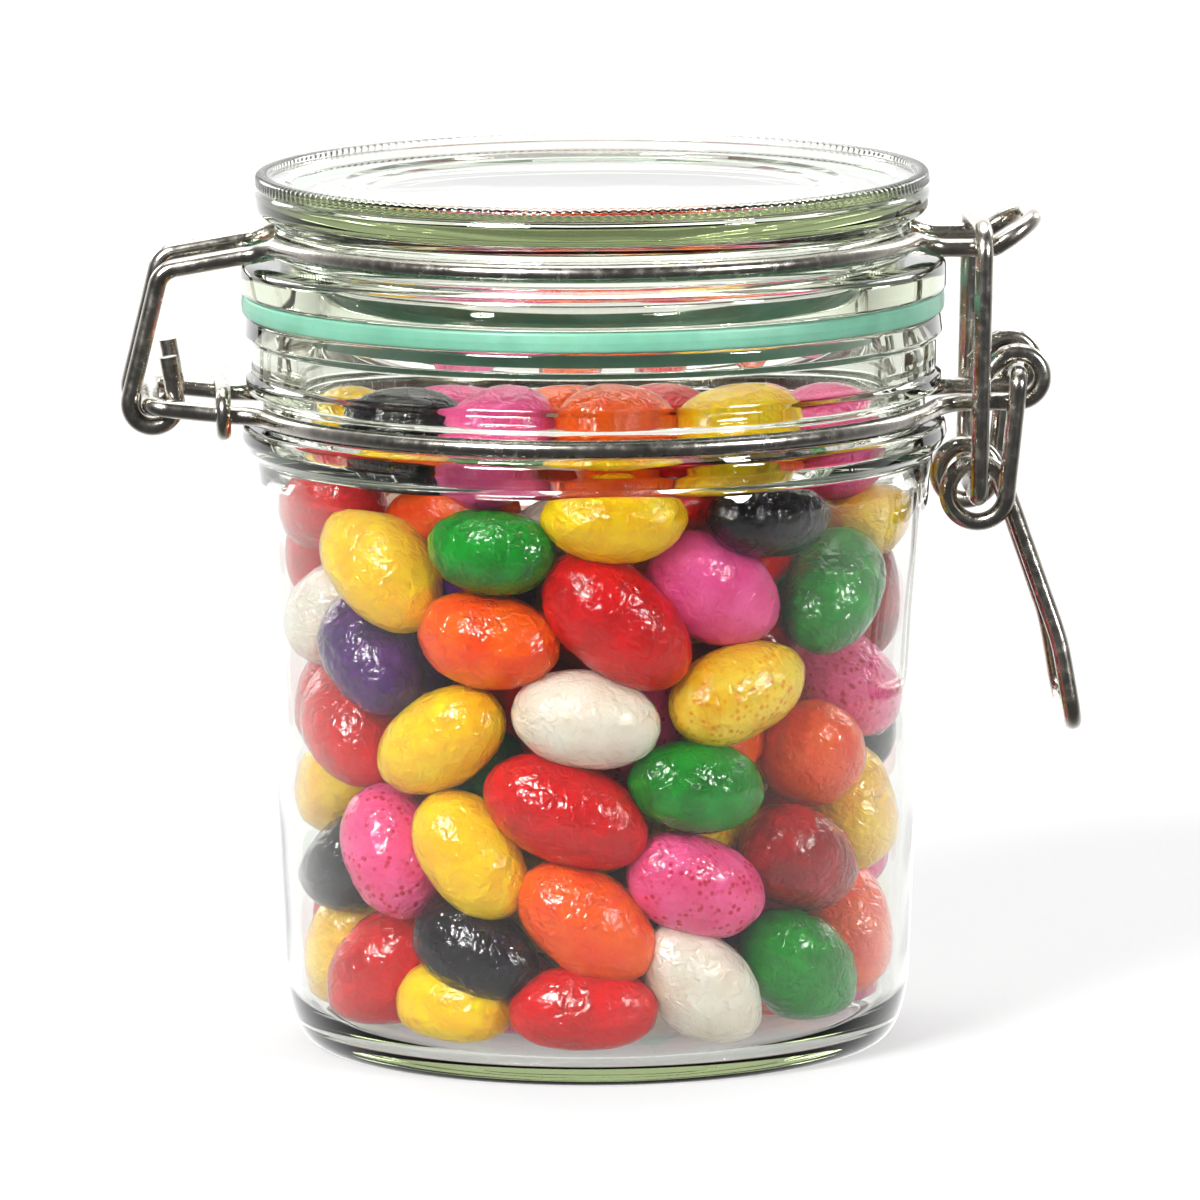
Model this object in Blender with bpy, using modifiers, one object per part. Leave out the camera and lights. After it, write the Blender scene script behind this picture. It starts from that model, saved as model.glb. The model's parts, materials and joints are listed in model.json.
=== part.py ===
"""A clip-top preserving jar filled with jelly beans, one object for each separate piece.

Metres, +Z up. The origin is on the jar's axis at its underside, the front is -Y, the lid's
hinge wires stand out at -X and the clamp at +X.
"""

import math

import bmesh
import bpy
from mathutils import Vector

MM = 0.001
GAP = 0.3 * MM

# Glass
TURN_STEPS = 30
BASE_CORNER_R = 39.5 * MM
BASE_CORNER_HEIGHT = 12.0 * MM
WALL_FOOT_R = 43.5 * MM
WALL_TOP_R = 46.3 * MM
WALL_TOP_Z = 76.0 * MM
WALL_THICKNESS = 2.0 * MM
FLOOR_Z = 2.8 * MM
INNER_CORNER_R = 4.5 * MM
INNER_CORNER_HEIGHT = 6.2 * MM
MOUTH_R = 41.0 * MM
RIM_Z = 101.5 * MM
LID_BOTTOM_Z = RIM_Z + 3.0 * MM
LID_TOP_Z = 121.0 * MM
LID_R = 48.9 * MM
LID_GROOVE_R = 43.9 * MM
NECK_GROOVE_R = 46.0 * MM

# Gasket
GASKET_INNER_R = 41.5 * MM
GASKET_OUTER_R = 48.6 * MM

# Wires
WIRE_R = 1.25 * MM
CLIP_WIRE_R = 1.05 * MM
RING_STEPS = 16
SWERVE_R = 5.0 * MM
GROOVE_FREE = 0.35 * MM

LID_RING_R = LID_GROOVE_R + WIRE_R + GROOVE_FREE
LID_RING_Z = 112.0 * MM
LID_ARM_Y = 9.6 * MM
LID_ARM_Z = 110.6 * MM
HOOK_CENTRE = Vector((-60.95 * MM, 0.0, 90.35 * MM))
HOOK_R = 3.2 * MM
HOOK_ENTRY_DEG = 166.0
HOOK_EXIT_DEG = 369.5
HOOK_STUB = 6.0 * MM
ARM_DROP = 18.1 * MM
TIP_CORNER_X = 55.0 * MM
TIP_LENGTH = 6.6 * MM
TIP_RISE_DEG = 33.0

NECK_RING_R = NECK_GROOVE_R + WIRE_R + GROOVE_FREE
NECK_RING_Z = 88.5 * MM
HINGE_ARM_Y = 12.4 * MM
HINGE_BAR = Vector((-61.3 * MM, 0.0, 90.2 * MM))
CLAMP_ARM_Y = 8.5 * MM
EYE_CENTRE = Vector((58.2 * MM, 0.0, 92.5 * MM))
EYE_R = 3.4 * MM
EYE_SWEEP_DEG = 225.0
EYE_TAIL = 3.6 * MM
CLIP_X = -51.3 * MM

# Clamp lever and link
PIVOT = Vector((58.2 * MM, 0.0, 93.0 * MM))
PIN_END_Y = 6.9 * MM
LEVER_Y = 11.4 * MM
COIL_CENTRE = Vector((52.4 * MM, 0.0, 76.7 * MM))
COIL_R = 4.0 * MM
COIL_PITCH = 2.8 * MM
COIL_STEPS = 20
HANDLE_DEG = -71.0
HANDLE_Y = 12.5 * MM
HANDLE_BEND = Vector((63.75 * MM, 0.0, 56.0 * MM))
HANDLE_END = Vector((65.7 * MM, 0.0, 44.4 * MM))
LINK_TOP = Vector((53.3 * MM, 0.0, LID_ARM_Z + 2 * WIRE_R + GAP))
LINK_LENGTH = 37.0 * MM
LINK_Y = 14.2 * MM

# Beans
BEAN_LENGTH = 20.3 * MM
BEAN_WIDTH = 13.4 * MM
BEAN_ROWS = 7
BEANS_IN_ROW = 14
FIRST_ROW_Z = 11.0 * MM
HEAP_TOP_Z = 95.5 * MM
HEAP_SLOPE = 0.15
HEAP_STEPS = 33
HEAP_WALL_ROWS = 19
SHOULDER_DROP = 4.5 * MM
DIMPLE = 3.8 * MM


def clear_scene():
    """Removes what is in the scene, so that the script can be run again."""
    for item in list(bpy.data.objects):
        bpy.data.objects.remove(item, do_unlink=True)


def material(name, colour, roughness, metallic=0.0, transmission=0.0):
    """A Principled material."""
    made = bpy.data.materials.new(name)
    made.use_nodes = True
    shader = made.node_tree.nodes["Principled BSDF"]
    shader.inputs["Base Color"].default_value = (*colour, 1.0)
    shader.inputs["Roughness"].default_value = roughness
    shader.inputs["Metallic"].default_value = metallic
    shader.inputs["Transmission Weight"].default_value = transmission
    made.diffuse_color = (*colour, 1.0)
    return made


def in_xz(centre, radius, degrees, y):
    """The point at an angle on a circle that lies across Y."""
    turn = math.radians(degrees)
    return Vector((centre.x + radius * math.cos(turn), y, centre.z + radius * math.sin(turn)))


def arc_xz(centre, radius, start, end, steps, y_start, y_end=None):
    """Points on an arc across Y, whose Y may change evenly along it."""
    y_end = y_start if y_end is None else y_end
    points = []
    for step in range(steps + 1):
        share = step / steps
        y = y_start + (y_end - y_start) * share
        points.append(in_xz(centre, radius, start + (end - start) * share, y))
    return points


def arc_xy(centre_x, centre_y, radius, start, end, steps, z_start, z_end):
    """Points on a level arc, whose height may change smoothly along it."""
    points = []
    for step in range(steps + 1):
        share = step / steps
        turn = math.radians(start + (end - start) * share)
        ease = share * share * (3.0 - 2.0 * share)
        z = z_start + (z_end - z_start) * ease
        points.append(Vector((centre_x + radius * math.cos(turn), centre_y + radius * math.sin(turn), z)))
    return points


def bend(before, corner, after, radius, steps=4):
    """The points of the arc that rounds the corner between two straight stretches."""
    back = (before - corner).normalized()
    on = (after - corner).normalized()
    half = back.angle(on) / 2.0
    reach = radius / math.tan(half)
    middle = corner + (back + on).normalized() * (radius / math.sin(half))
    first = corner + back * reach - middle
    last = corner + on * reach - middle
    sweep = first.angle(last)
    points = []
    for step in range(steps + 1):
        share = step / steps
        mix = (first * math.sin((1.0 - share) * sweep) + last * math.sin(share * sweep)) / math.sin(sweep)
        points.append(middle + mix)
    return points


def mirrored(points):
    """The same path on the other side of the XZ plane, run backwards."""
    return [Vector((p.x, -p.y, p.z)) for p in reversed(points)]


def half_ring(radius, height, left_y, left_z, right_y, right_z):
    """The front half of a ring round the glass, from the arm at -X to the arm at +X.

    At each end the ring swerves out of its circle on a small arc, into an arm along X.
    """
    ends = []
    for arm_y in (left_y, right_y):
        across = arm_y + SWERVE_R
        out = math.sqrt((radius + SWERVE_R) ** 2 - across ** 2)
        ends.append((out, across, math.degrees(math.asin(across / (radius + SWERVE_R)))))
    (left_x, left_across, left_turn), (right_x, right_across, right_turn) = ends
    path = arc_xy(-left_x, -left_across, SWERVE_R, 90.0, left_turn, 4, left_z, height)
    path += arc_xy(0, 0, radius, 180.0 + left_turn, 360.0 - right_turn, RING_STEPS, height, height)[1:-1]
    path += arc_xy(right_x, -right_across, SWERVE_R, 180.0 - right_turn, 90.0, 4, height, right_z)
    return path


def add_object(name, data, collection, finish):
    """An object in the collection, with one material."""
    made = bpy.data.objects.new(name, data)
    data.materials.append(finish)
    collection.objects.link(made)
    return made


def set_origin(item, origin):
    """Moves an object's origin without moving its shape. Its data holds world positions."""
    for spline in item.data.splines:
        for point in spline.points:
            x, y, z, w = point.co
            point.co = (x - origin.x, y - origin.y, z - origin.z, w)
    item.location = origin


def wire(name, points, radius, collection, finish, closed=False):
    """A round wire along a path."""
    curve = bpy.data.curves.new(name, "CURVE")
    curve.dimensions = "3D"
    curve.bevel_depth = radius
    curve.bevel_resolution = 2
    curve.use_fill_caps = not closed
    spline = curve.splines.new("POLY")
    spline.points.add(len(points) - 1)
    for spot, place in zip(spline.points, points):
        spot.co = (*place, 1.0)
    spline.use_cyclic_u = closed
    return add_object(name, curve, collection, finish)


def turned(name, outline, steps, closed, collection, finish):
    """A turned solid from an outline of (radius, height) that runs down its outer side."""
    mesh = bpy.data.meshes.new(name)
    points = [(radius, 0.0, height) for radius, height in outline]
    edges = [(i, i + 1) for i in range(len(points) - 1)]
    if closed:
        edges.append((len(points) - 1, 0))
    mesh.from_pydata(points, edges, [])
    made = add_object(name, mesh, collection, finish)
    screw = made.modifiers.new("Turn", "SCREW")
    screw.axis = "Z"
    screw.steps = steps
    screw.render_steps = steps
    screw.use_merge_vertices = True
    screw.merge_threshold = 0.00001
    screw.use_smooth_shade = True
    return made


def in_mm(*pairs):
    """Pairs of millimetres as metres."""
    return [(radius * MM, height * MM) for radius, height in pairs]


def corner(centre_r, centre_z, across, up, start, end, steps):
    """Points of (radius, height) on a quarter of an ellipse."""
    points = []
    for step in range(steps + 1):
        turn = math.radians(start + (end - start) * step / steps)
        points.append((centre_r + across * math.cos(turn), centre_z + up * math.sin(turn)))
    return points


def wall_radius(z):
    """The outer radius of the jar's slightly tapered wall."""
    share = (z - BASE_CORNER_HEIGHT) / (WALL_TOP_Z - BASE_CORNER_HEIGHT)
    return WALL_FOOT_R + (WALL_TOP_R - WALL_FOOT_R) * share


def jar_inside():
    """The inner outline of the jar, from the middle of its floor up to its mouth."""
    foot_z = FLOOR_Z + INNER_CORNER_HEIGHT
    foot_r = wall_radius(foot_z) - WALL_THICKNESS
    outline = [(0.0, FLOOR_Z)]
    outline += corner(foot_r - INNER_CORNER_R, foot_z, INNER_CORNER_R, INNER_CORNER_HEIGHT, -90.0, 0.0, 4)
    for height in (44.0 * MM, WALL_TOP_Z):
        outline.append((wall_radius(height) - WALL_THICKNESS, height))
    outline += in_mm((44.4, 79.5), (42.9, 83.2))
    outline += [(MOUTH_R + 0.2 * MM, 87.0 * MM), (MOUTH_R, 90.0 * MM), (MOUTH_R, RIM_Z - 1.6 * MM)]
    return outline


def jar(collection, finish):
    """The glass jar: a tapered cup with a beaded neck, a wire groove and a rim."""
    outline = jar_inside()
    outline += in_mm((41.6, 101.2), (42.5, 101.5), (47.4, 101.5), (48.3, 100.6), (48.3, 98.9))
    outline += in_mm((47.7, 98.2), (47.5, 94.0), (48.1, 92.8), (48.0, 91.3), (46.6, 90.4))
    outline += [(NECK_GROOVE_R, 89.9 * MM), (NECK_GROOVE_R, 87.2 * MM)]
    outline += in_mm((46.9, 86.6), (48.4, 86.1), (48.9, 85.0), (48.7, 83.4), (47.6, 82.0), (47.0, 80.0))
    for height in (WALL_TOP_Z, 44.0 * MM):
        outline.append((wall_radius(height), height))
    across = WALL_FOOT_R - BASE_CORNER_R
    outline += corner(BASE_CORNER_R, BASE_CORNER_HEIGHT, across, BASE_CORNER_HEIGHT, 0.0, -90.0, 5)
    outline.append((0.0, 0.0))
    return turned("jar", outline, TURN_STEPS, False, collection, finish)


def lid(collection, finish):
    """The glass lid: a raised rim round a shallow recess, a wire groove and a hollow underside."""
    outline = [(0.0, 118.9 * MM)]
    outline += in_mm((33.4, 118.9), (34.4, 119.3), (42.0, 119.2), (43.0, 120.6))
    outline += [(44.2 * MM, LID_TOP_Z)] + in_mm((45.6, 120.9), (46.4, 119.9), (46.6, 118.4), (46.6, 115.8), (45.9, 114.8))
    outline += in_mm((44.3, 113.8)) + [(LID_GROOVE_R, 113.3 * MM), (LID_GROOVE_R, 110.9 * MM)]
    outline += in_mm((44.6, 109.7), (46.2, 109.0), (48.2, 108.4))
    outline += [(LID_R, 107.3 * MM), (LID_R, 105.2 * MM), (LID_R - 0.5 * MM, LID_BOTTOM_Z)]
    outline += [(MOUTH_R - 0.4 * MM, LID_BOTTOM_Z), (MOUTH_R - 0.5 * MM, RIM_Z)]
    outline += in_mm((39.8, 100.9), (38.6, 100.9), (38.1, 101.6), (37.6, 108.0), (36.6, 112.5))
    outline += in_mm((35.0, 114.6), (33.0, 115.3), (0.0, 115.3))
    return turned("lid", outline, TURN_STEPS, False, collection, finish)


def gasket(collection, finish):
    """The flat rubber ring between the jar's rim and the lid."""
    low = RIM_Z + GAP
    high = LID_BOTTOM_Z - GAP
    outline = [(GASKET_INNER_R, low), (GASKET_INNER_R, high), (GASKET_OUTER_R, high), (GASKET_OUTER_R, low)]
    return turned("gasket", outline, TURN_STEPS, True, collection, finish)


def lid_wire(collection, finish):
    """One wire round the lid: hooked ends at the hinge, and a closed tip at the clamp."""
    y = -LID_ARM_Y
    hook = arc_xz(HOOK_CENTRE, HOOK_R, HOOK_EXIT_DEG, HOOK_ENTRY_DEG, 9, y)
    stub_turn = math.radians(HOOK_EXIT_DEG + 90.0)
    stub = hook[0] + Vector((math.cos(stub_turn), 0.0, math.sin(stub_turn))) * HOOK_STUB
    drop_turn = math.radians(HOOK_ENTRY_DEG - 90.0)
    knee = hook[-1] + Vector((math.cos(drop_turn), 0.0, math.sin(drop_turn))) * ARM_DROP
    around = half_ring(LID_RING_R, LID_RING_Z, LID_ARM_Y, LID_ARM_Z, LID_ARM_Y, LID_ARM_Z)
    path = [stub] + hook + bend(hook[-1], knee, around[0], 3.0 * MM) + around
    rise = math.radians(TIP_RISE_DEG)
    tip_corner = Vector((TIP_CORNER_X, y, LID_ARM_Z))
    tip = tip_corner + Vector((math.cos(rise), 0.0, math.sin(rise))) * TIP_LENGTH
    path += bend(around[-1], tip_corner, tip, 2.0 * MM, 3)
    path += bend(tip_corner, tip, Vector((tip.x, 0.0, tip.z)), 5.0 * MM, 5)
    path += mirrored(path)
    return wire("lid_wire", path, WIRE_R, collection, finish)


def neck_wire(collection, finish):
    """One wire round the neck: a hinge bar at -X, and an eye at each end for the lever's pins."""
    eye_bottom = EYE_CENTRE.z - EYE_R
    around = half_ring(NECK_RING_R, NECK_RING_Z, HINGE_ARM_Y, NECK_RING_Z + 0.4 * MM, CLAMP_ARM_Y, eye_bottom)
    hinge_corner = Vector((HINGE_BAR.x, -HINGE_ARM_Y, HINGE_BAR.z))
    path = bend(HINGE_BAR, hinge_corner, around[0], 2.4 * MM) + around
    path += arc_xz(EYE_CENTRE, EYE_R, -90.0, EYE_SWEEP_DEG - 90.0, 10, -CLAMP_ARM_Y)
    tail_turn = math.radians(EYE_SWEEP_DEG)
    path.append(path[-1] + Vector((math.cos(tail_turn), 0.0, math.sin(tail_turn))) * EYE_TAIL)
    return wire("neck_wire", mirrored(path) + path, WIRE_R, collection, finish)


def clip_ring(collection, finish):
    """The small ring that ties the two hinge arms together."""
    reach = WIRE_R + CLIP_WIRE_R + 1.5 * GAP
    share = (CLIP_X + NECK_RING_R) / (HINGE_BAR.x + NECK_RING_R)
    height = NECK_RING_Z + 0.4 * MM + (HINGE_BAR.z - NECK_RING_Z - 0.4 * MM) * share
    path = []
    for side, start in ((-1, 90.0), (1, 270.0)):
        for step in range(9):
            turn = math.radians(start + 180.0 * step / 8)
            y = side * HINGE_ARM_Y + reach * math.cos(turn)
            path.append(Vector((CLIP_X, y, height + reach * math.sin(turn))))
    return wire("clip_ring", path, CLIP_WIRE_R, collection, finish, closed=True)


def link(collection, finish):
    """The closed link that hangs on the lid wire and runs through the lever's coils."""
    down = (COIL_CENTRE - LINK_TOP).normalized()
    low = LINK_TOP + down * LINK_LENGTH
    corners = []
    for side in (-1, 1):
        corners.append(Vector((LINK_TOP.x, side * LINK_Y, LINK_TOP.z)))
        corners.append(Vector((low.x, side * LINK_Y, low.z)))
    front_top, front_low, back_top, back_low = corners
    path = bend(back_top, front_top, front_low, 4.0 * MM)
    path += bend(front_top, front_low, back_low, 1.8 * MM)
    path += bend(front_low, back_low, back_top, 1.8 * MM)
    path += bend(back_low, back_top, front_top, 4.0 * MM)
    made = wire("link", path, WIRE_R, collection, finish, closed=True)
    set_origin(made, LINK_TOP)
    return made


def lever(collection, finish):
    """The clamp's lever: two pins in the eyes, a coil on each leg, and a wide bail handle."""
    y = -LEVER_Y
    to_coil = COIL_CENTRE - PIVOT
    heading = math.degrees(math.atan2(to_coil.z, to_coil.x)) + math.degrees(math.asin(COIL_R / to_coil.length))
    coil = arc_xz(COIL_CENTRE, COIL_R, heading + 90.0, HANDLE_DEG + 90.0 - 360.0, COIL_STEPS, y, y + COIL_PITCH)
    pin_end = Vector((PIVOT.x, -PIN_END_Y, PIVOT.z))
    pin_corner = Vector((PIVOT.x, y, PIVOT.z))
    path = [pin_end] + bend(pin_end, pin_corner, coil[0], 1.8 * MM) + coil
    knee = Vector((HANDLE_BEND.x, y, HANDLE_BEND.z))
    end = Vector((HANDLE_END.x, -HANDLE_Y, HANDLE_END.z))
    path += bend(coil[-1], knee, end, 30.0 * MM)
    path += bend(knee, end, HANDLE_END, 3.6 * MM)
    made = wire("lever", path + mirrored(path), WIRE_R, collection, finish)
    set_origin(made, PIVOT)
    return made


def dimple(across, up, tilt):
    """How far a bean's surface has fallen back at a place beside its middle."""
    along = across * math.cos(tilt) + up * math.sin(tilt)
    aside = up * math.cos(tilt) - across * math.sin(tilt)
    share = (2 * along / BEAN_LENGTH) ** 2 + (2 * aside / BEAN_WIDTH) ** 2
    fall = BEAN_WIDTH / 2 * (1.0 - math.sqrt(max(0.0, 1.0 - share)))
    return min(DIMPLE, fall)


def wall_dimple(turn, z, radius):
    """The dimple among the beans against the wall, which lie in staggered rows."""
    least = DIMPLE
    for row in range(BEAN_ROWS):
        up = z - (FIRST_ROW_Z + row * (HEAP_TOP_Z - 2 * FIRST_ROW_Z + 5 * MM) / (BEAN_ROWS - 1))
        for place in range(BEANS_IN_ROW):
            centre = math.tau * (place + 0.5 * (row % 2)) / BEANS_IN_ROW
            across = math.remainder(turn - centre, math.tau) * radius
            tilt = math.pi * ((5 * place + 3 * row) % 7 - 3) / 9
            least = min(least, dimple(across, up, tilt))
    return least


def top_dimple(x, y):
    """The dimple among the beans on top, which lie in rings."""
    least = DIMPLE
    for ring_r, count in ((7.5 * MM, 3), (21.0 * MM, 8), (33.5 * MM, 12)):
        for place in range(count):
            turn = math.tau * (place + ring_r / (20 * MM)) / count
            tilt = turn + math.pi * ((3 * place) % 5) / 5
            least = min(least, dimple(x - ring_r * math.cos(turn), y - ring_r * math.sin(turn), tilt))
    return least


def room_at(height):
    """The radius that the heap may have at a height, a gap clear of the glass."""
    room = [(radius - GAP, z) for radius, z in jar_inside()]
    for (low_r, low_z), (high_r, high_z) in zip(room, room[1:]):
        if low_z - GAP <= height <= high_z and high_z > low_z:
            share = max(0.0, (height - low_z) / (high_z - low_z))
            return low_r + (high_r - low_r) * share
    return room[-1][0]


def heap_outline():
    """The heap's outline in the jar, from its top's middle down its wall to its floor's middle."""
    edge_z = HEAP_TOP_Z - SHOULDER_DROP
    outline = [(radius * MM, HEAP_TOP_Z) for radius in (0.0, 8.0, 15.0, 21.5, 27.5, 33.0)]
    outline += [(37.5 * MM, HEAP_TOP_Z - 0.3 * SHOULDER_DROP), (MOUTH_R - GAP, edge_z)]
    low = FLOOR_Z + GAP
    for row in range(1, HEAP_WALL_ROWS + 1):
        height = edge_z + (low - edge_z) * row / HEAP_WALL_ROWS
        outline.append((room_at(height), height))
    outline.append((0.0, low))
    return outline


def beans(collection, finish):
    """The heap of jelly beans as one solid, uneven with its beans and lower towards the back."""
    solid = turned("beans", heap_outline(), HEAP_STEPS, False, collection, finish)
    shape = bpy.data.meshes.new_from_object(solid.evaluated_get(bpy.context.evaluated_depsgraph_get()))
    solid.modifiers.clear()
    solid.data = shape
    mesh = bmesh.new()
    mesh.from_mesh(shape)
    for spot in mesh.verts:
        x, y, z = spot.co
        radius = math.hypot(x, y)
        if z > HEAP_TOP_Z - SHOULDER_DROP - GAP:
            spot.co.z -= top_dimple(x, y)
            inset = min(radius, GAP)
        elif z > FLOOR_Z + 2 * GAP:
            inset = wall_dimple(math.atan2(y, x), z, radius)
        else:
            inset = 0.0
        height = spot.co.z - FLOOR_Z
        spot.co.z -= HEAP_SLOPE * (y + MOUTH_R) * height / (HEAP_TOP_Z - FLOOR_Z)
        inset += max(0.0, radius - room_at(spot.co.z))
        if inset > 0.0:
            spot.co.xy = Vector((x, y)) * (1.0 - inset / radius)
    mesh.to_mesh(shape)
    mesh.free()
    return solid


def main():
    """Builds every piece."""
    clear_scene()
    collection = bpy.data.collections.new("jar_of_jelly_beans")
    bpy.context.scene.collection.children.link(collection)
    glass = material("clear_glass", (0.86, 0.93, 0.88), 0.03, transmission=1.0)
    rubber = material("mint_rubber", (0.33, 0.62, 0.48), 0.45)
    steel = material("bright_steel_wire", (0.62, 0.60, 0.57), 0.2, metallic=1.0)
    sweets = material("jelly_beans", (0.85, 0.2, 0.05), 0.25)
    jar(collection, glass)
    lid(collection, glass)
    gasket(collection, rubber)
    for make in (lid_wire, neck_wire, clip_ring, link, lever):
        make(collection, steel)
    beans(collection, sweets)


main()
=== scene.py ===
"""The looks of a clip-top jar of jelly beans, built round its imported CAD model.

Metres, +Z up, in the frame of the CAD model: the jar's axis is Z, the front is -Y, the hinge
is at -X and the clamp at +X. MM turns the millimetres that are written here into metres.
"""

import json
import math

import bmesh
import bpy
import numpy as np
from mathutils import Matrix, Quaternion, Vector, noise


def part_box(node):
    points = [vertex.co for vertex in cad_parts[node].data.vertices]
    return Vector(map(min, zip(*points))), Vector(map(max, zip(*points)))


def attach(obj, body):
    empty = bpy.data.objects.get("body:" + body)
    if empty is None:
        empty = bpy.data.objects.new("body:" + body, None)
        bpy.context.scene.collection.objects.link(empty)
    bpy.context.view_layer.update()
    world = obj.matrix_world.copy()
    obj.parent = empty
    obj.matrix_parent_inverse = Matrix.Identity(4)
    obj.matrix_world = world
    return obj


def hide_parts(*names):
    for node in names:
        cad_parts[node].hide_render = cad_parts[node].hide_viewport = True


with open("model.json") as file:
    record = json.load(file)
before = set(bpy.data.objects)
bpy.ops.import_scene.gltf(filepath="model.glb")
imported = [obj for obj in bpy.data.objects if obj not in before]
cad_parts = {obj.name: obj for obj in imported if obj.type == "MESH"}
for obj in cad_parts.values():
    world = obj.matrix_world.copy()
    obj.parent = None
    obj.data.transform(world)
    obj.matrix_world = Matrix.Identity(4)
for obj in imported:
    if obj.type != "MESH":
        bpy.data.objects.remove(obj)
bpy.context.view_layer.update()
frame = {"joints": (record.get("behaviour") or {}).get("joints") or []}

MM = 0.001
SEED = 41

# Places that come from the frame
JAR_BODY, LEVER_BODY, LINK_BODY = "jar", "lever", "link"
RIM_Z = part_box("jar")[1].z
FLANGE_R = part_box("jar")[1].x
LID_TOP_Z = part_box("lid")[1].z
JOINT_PLACES = {joint["name"]: Vector(joint["pos_m"]) for joint in frame["joints"]}
PIVOT = JOINT_PLACES["lever_pivot"]
LINK_TOP = JOINT_PLACES["link_swing"]

# Glass, in millimetres
LATHE_STEPS = 240
BEAD_COUNT = 220
STEPS_IN_A_BEAD = 3
WALL = 2.0
FLOOR = 2.8
INNER_CORNER_R, INNER_CORNER_UP = 4.5, 6.2
BASE_CORNER_UP = 12.0
WALL_FOOT_R, WALL_TOP_R = 43.5, 46.3
WALL_TOP_Z = 76.0
MOUTH_R = 41.0

# Wires, in metres
WIRE_R = 1.25 * MM
CLIP_WIRE_R = 1.05 * MM
SWERVE_R = 5.0 * MM
RING_STEPS = 96
LID_RING_R, LID_RING_Z = 45.5 * MM, 112.0 * MM
NECK_RING_R, NECK_RING_Z = 47.6 * MM, 88.5 * MM
LID_ARM_Y, LID_ARM_Z = 9.6 * MM, 110.6 * MM
HOOK_CENTRE = Vector((-60.95 * MM, 0.0, 90.35 * MM))
HOOK_R, HOOK_STUB = 3.2 * MM, 6.0 * MM
HOOK_ENTRY_DEG, HOOK_EXIT_DEG = 166.0, 369.5
ARM_DROP = 18.1 * MM
TIP_CORNER_X, TIP_LENGTH, TIP_RISE_DEG = 55.0 * MM, 6.6 * MM, 33.0
HINGE_ARM_Y = 12.4 * MM
HINGE_BAR = Vector((-61.3 * MM, 0.0, 90.2 * MM))
CLAMP_ARM_Y = 8.5 * MM
EYE_CENTRE = Vector((58.2 * MM, 0.0, 92.5 * MM))
EYE_R, EYE_SWEEP_DEG, EYE_TAIL = 3.4 * MM, 225.0, 3.6 * MM
CLIP_X = -51.3 * MM
CLIP_REACH = WIRE_R + CLIP_WIRE_R + 0.45 * MM
PIN_END_Y, LEVER_Y = 6.9 * MM, 11.4 * MM
COIL_CENTRE = Vector((52.4 * MM, 0.0, 76.7 * MM))
COIL_R, COIL_PITCH = 4.0 * MM, 2.8 * MM
HANDLE_DEG, HANDLE_Y = -71.0, 12.5 * MM
HANDLE_BEND = Vector((63.75 * MM, 0.0, 56.0 * MM))
HANDLE_END = Vector((65.7 * MM, 0.0, 44.4 * MM))
LINK_LENGTH, LINK_Y = 37.0 * MM, 14.2 * MM

# The floor from front to back: place along Y in metres, reflectance, glow. The low reflectance well in
# front is painted shade, and the glow is painted light that lights the jar from below and lifts its
# shadow.
FLOOR_SHADE_AND_GLOW_STOPS = ((-0.24, 0.08, 0.0), (-0.105, 0.22, 0.52), (0.3, 0.22, 0.54), (1.5, 0.3, 0.65))
# The world's brightness from the front (0) to the back (1)
SKY_STOPS = ((0.42, 0.08), (0.62, 0.30), (0.80, 1.0), (0.97, 1.7))

# Jelly beans, in millimetres
LENGTH, WIDTH = 20.4, 13.4
GLASS_FREE = 0.12
HOLD_SHARES = (1.0, 0.15, 1.0)
SPHERE_SHARES = (-1.0, -0.53, 0.0, 0.53, 1.0)
HEAP_TOP, HEAP_SLOPE = 97.0, 0.15
BEAN_COUNT = 162
CORE_R, CORE_LOW, CORE_HIGH = 24.0, 17.0, 80.0
# How far the spheres keep from the wall, the floor and the floor's rounded corner
WALL_ROOM, FLOOR_ROOM, CORNER_ROOM = 0.4, 0.4, 0.3
# A bean's squared turning radius, and how much its contacts calm each other
EASE, CALM = 29.0, 0.55
TRIES, SHAPE_COUNT = 60, 14

# The camera in metres, its lens in millimetres and its roll in degrees
CAMERA_PLACE = Vector((-59.5 * MM, -1548.9 * MM, 298.7 * MM))
CAMERA_AIM = Vector((0.7 * MM, 0.0, 60.8 * MM))
CAMERA_LENS, CAMERA_SENSOR, CAMERA_ROLL_DEG = 339.0, 36.0, -0.38

# Lamps in metres and watts: name, place, point they face, width, height, power
MIDDLE = (0.0, 0.0, 0.06)
LAMPS = (
    ("key", (-0.85, -1.15, 1.05), MIDDLE, 0.6, 0.6, 64.0),
    ("fill", (1.15, -0.95, 0.7), MIDDLE, 0.3, 0.45, 24.0),
    ("back_left", (-1.1, 1.3, 0.8), MIDDLE, 0.5, 0.8, 9.0),
    ("back_right", (1.2, 1.1, 0.9), MIDDLE, 0.5, 0.8, 9.0),
    ("top", (0.0, 0.75, 1.9), (0.0, 0.75, 0.0), 2.2, 1.8, 42.0),
)

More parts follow.
